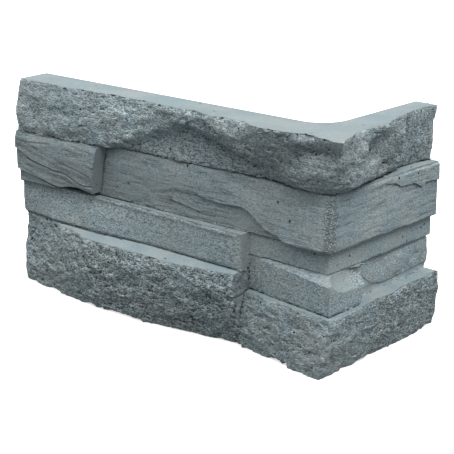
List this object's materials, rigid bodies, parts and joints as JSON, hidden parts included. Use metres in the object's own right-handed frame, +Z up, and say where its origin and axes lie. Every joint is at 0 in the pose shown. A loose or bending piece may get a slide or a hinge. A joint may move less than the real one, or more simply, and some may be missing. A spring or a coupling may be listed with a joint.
{
  "type": "stone cladding corner piece",
  "caption": "L-shaped cast stone cladding corner with stacked split-face, slate and smooth courses on both outer faces, flat back, top and base.",
  "frame": {"origin": "the wall's outside corner, at the level of the piece's flat base", "axes": "-X along the long leg, whose stone face looks towards -Y; +Y along the short leg, whose stone face looks towards +X; +Z up"},
  "size_m": [0.2885, 0.1362, 0.15],
  "materials": {
    "cast_stone": "matt, fine sandy"
  },
  "bodies": {
    "root": {"cladding_corner": "cast_stone"}
  },
  "joints": []
}
